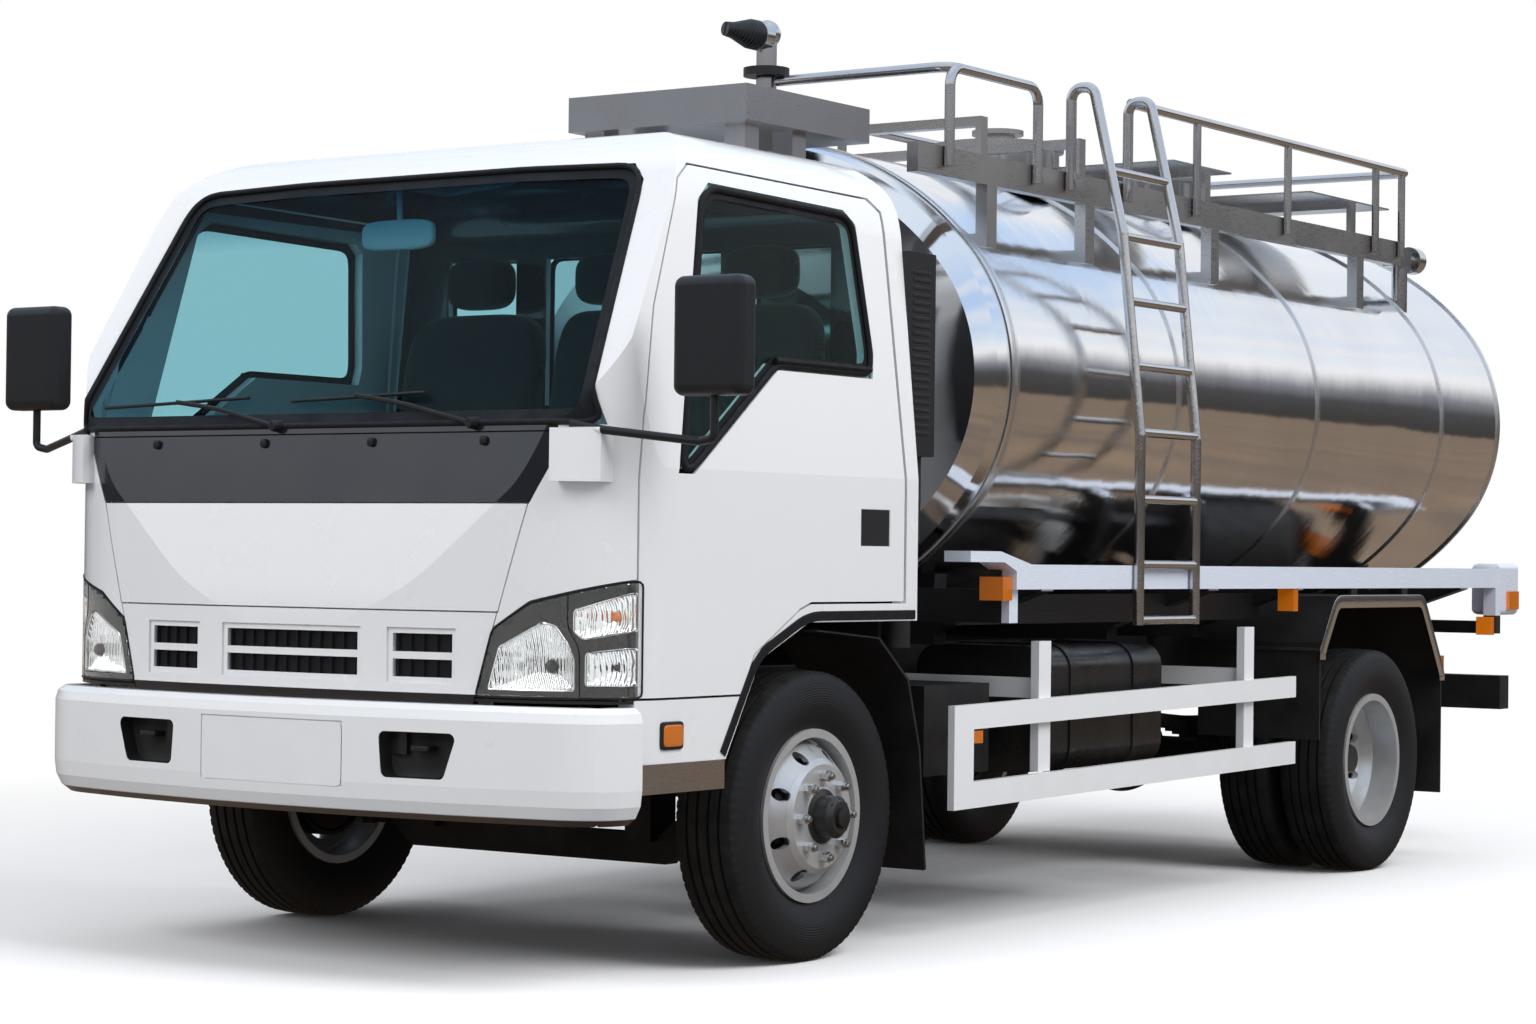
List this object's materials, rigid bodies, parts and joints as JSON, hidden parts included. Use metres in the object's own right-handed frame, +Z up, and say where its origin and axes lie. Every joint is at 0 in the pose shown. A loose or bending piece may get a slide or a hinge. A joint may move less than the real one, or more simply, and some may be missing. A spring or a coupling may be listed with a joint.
{
  "type": "tanker truck",
  "caption": "Forward-control tanker truck with a white cab, polished oval tank, top walkway, ladder and water cannon.",
  "frame": {"origin": "on the ground in the middle of the truck's overall length and width", "axes": "+Z up, the truck faces -Y, its own left side is +X"},
  "size_m": [2.622, 6.17, 2.779],
  "materials": {
    "white_paint": "gloss",
    "black_plastic": "matte",
    "black_steel": "satin",
    "grey_plastic": "matte",
    "seat_cloth": "matte",
    "tinted_glass": "gloss",
    "lamp_lens": "gloss",
    "chassis_paint": "satin",
    "cast_steel": "matte",
    "plain_steel": "matte",
    "polished_steel": "polished",
    "satin_steel": "satin",
    "guard_paint": "gloss",
    "silver_paint": "satin",
    "tyre_rubber": "matte"
  },
  "bodies": {
    "body": {"air_intake": "black_plastic", "battery_box": "black_steel", "bumper": "white_paint", "cab_roof": "white_paint", "cab_shell": "white_paint", "cab_steps": "black_plastic", "chassis_frame": "chassis_paint", "cowl_band": "black_plastic", "dashboard": "grey_plastic", "deck_frame": "polished_steel", "engine_and_gearbox": "cast_steel", "exhaust": "plain_steel", "front_axle_beam": "chassis_paint", "front_mudguards": "black_plastic", "front_panel": "white_paint", "fuel_tank": "black_steel", "grille_panel": "white_paint", "handrails": "satin_steel", "headlamps": "lamp_lens", "ladder": "satin_steel", "leaf_springs": "chassis_paint", "marker_lamps": "lamp_lens", "mirrors": "black_plastic", "propeller_shaft": "chassis_paint", "rear_axle_housing": "chassis_paint", "rear_mudguards": "black_plastic", "rear_valve": "satin_steel", "rear_window_glass": "tinted_glass", "roof_tray": "satin_steel", "seat_backs": "seat_cloth", "seat_bases": "grey_plastic", "seat_cushions": "seat_cloth", "side_guards": "guard_paint", "spray_head": "satin_steel", "steering_wheel": "grey_plastic", "tank_saddles": "satin_steel", "tank_shell": "polished_steel", "walkway": "satin_steel", "windscreen_glass": "tinted_glass", "wipers": "black_plastic"},
    "door_left": {"door_left": "white_paint", "door_left_glass": "tinted_glass"},
    "door_right": {"door_right": "white_paint", "door_right_glass": "tinted_glass"},
    "knuckle_left": {"knuckle_left": "cast_steel"},
    "knuckle_right": {"knuckle_right": "cast_steel"},
    "tie_rod": {"tie_rod": "cast_steel"},
    "lid_front": {"manhole_lid_front": "satin_steel"},
    "lid_rear": {"manhole_lid_rear": "satin_steel"},
    "front_wheel_left": {"front_left_tyre": "tyre_rubber", "front_left_wheel": "silver_paint"},
    "front_wheel_right": {"front_right_tyre": "tyre_rubber", "front_right_wheel": "silver_paint"},
    "rear_wheels_left": {"rear_left_tyre": "tyre_rubber", "rear_left_wheel": "silver_paint"},
    "rear_wheels_right": {"rear_right_tyre": "tyre_rubber", "rear_right_wheel": "silver_paint"}
  },
  "joints": [
    {"name": "steer_left", "type": "hinge", "parent": "body", "child": "knuckle_left", "pos_m": [0.77, -1.935, 0.3985], "axis": [0, 0, 1], "range_deg": [-32, 32]},
    {"name": "steer_right", "type": "hinge", "parent": "body", "child": "knuckle_right", "pos_m": [-0.77, -1.935, 0.3985], "axis": [0, 0, 1], "range_deg": [-32, 32]},
    {"name": "tie_rod_pivot", "type": "hinge", "parent": "knuckle_left", "child": "tie_rod", "pos_m": [0.77, -1.805, 0.291], "axis": [0, 0, 1], "range_deg": [-32, 32]},
    {"name": "front_wheel_spin_left", "type": "hinge", "parent": "knuckle_left", "child": "front_wheel_left", "pos_m": [0.86, -1.935, 0.3985], "axis": [1, 0, 0], "continuous": true},
    {"name": "front_wheel_spin_right", "type": "hinge", "parent": "knuckle_right", "child": "front_wheel_right", "pos_m": [-0.86, -1.935, 0.3985], "axis": [1, 0, 0], "continuous": true},
    {"name": "rear_wheel_spin_left", "type": "hinge", "parent": "body", "child": "rear_wheels_left", "pos_m": [0.82, 1.585, 0.3985], "axis": [1, 0, 0], "continuous": true},
    {"name": "rear_wheel_spin_right", "type": "hinge", "parent": "body", "child": "rear_wheels_right", "pos_m": [-0.82, 1.585, 0.3985], "axis": [1, 0, 0], "continuous": true},
    {"name": "door_left_hinge", "type": "hinge", "parent": "body", "child": "door_left", "pos_m": [0.985, -2.775, 1.3], "axis": [0, 0, -1], "range_deg": [0, 70]},
    {"name": "door_right_hinge", "type": "hinge", "parent": "body", "child": "door_right", "pos_m": [-0.985, -2.775, 1.3], "axis": [0, 0, 1], "range_deg": [0, 70]},
    {"name": "lid_front_hinge", "type": "hinge", "parent": "body", "child": "lid_front", "pos_m": [0.24, 0.465, 2.502], "axis": [-1, 0, 0], "range_deg": [0, 100]},
    {"name": "lid_rear_hinge", "type": "hinge", "parent": "body", "child": "lid_rear", "pos_m": [0.24, 1.545, 2.502], "axis": [-1, 0, 0], "range_deg": [0, 100]}
  ],
  "couplings": [
    {"joint": "steer_right", "follows": "steer_left", "ratio": 1},
    {"joint": "tie_rod_pivot", "follows": "steer_left", "ratio": -1}
  ]
}
